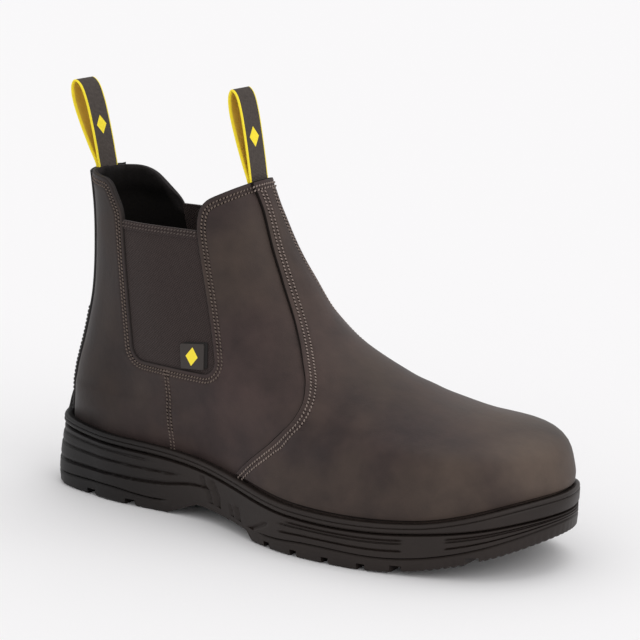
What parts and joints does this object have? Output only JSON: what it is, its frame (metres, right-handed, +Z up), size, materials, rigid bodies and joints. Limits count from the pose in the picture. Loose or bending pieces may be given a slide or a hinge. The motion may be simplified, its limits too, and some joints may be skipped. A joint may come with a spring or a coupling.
{
  "type": "side gore work boot",
  "caption": "Ankle-high pull-on leather work boot with elastic side panels, woven pull loops and a thick lugged sole.",
  "frame": {"origin": "on the floor, at the middle of the boot's bounding box", "axes": "+X towards the toe, +Y towards the medial side of a right foot, +Z up"},
  "size_m": [0.3055, 0.1166, 0.222],
  "materials": {
    "tread": "black moulded rubber, slightly dull",
    "sole_wall": "black moulded polyurethane, fine skin with a soft sheen",
    "sole_rim": "black moulded polyurethane with a soft sheen",
    "insole": "dark textile cover",
    "leather": "dark brown oiled nubuck, dull with faint worn lights",
    "vamp_leather": "dark brown oiled nubuck, dull with faint worn lights",
    "backstay": "black leather strip",
    "elastic": "dark brown ribbed elastic",
    "tag": "dark woven tag with a plain yellow woven patch",
    "webbing": "dark woven tape, yellow on its inner face and edges"
  },
  "bodies": {
    "root": {"outsole": "tread", "midsole": "sole_wall", "rim": "sole_rim", "insole": "insole", "upper": "leather", "vamp": "vamp_leather", "backstay": "backstay", "gore_lateral": "elastic", "gore_medial": "elastic", "gore_tag": "tag", "pull_loop_front": "webbing", "pull_loop_back": "webbing"}
  },
  "joints": []
}
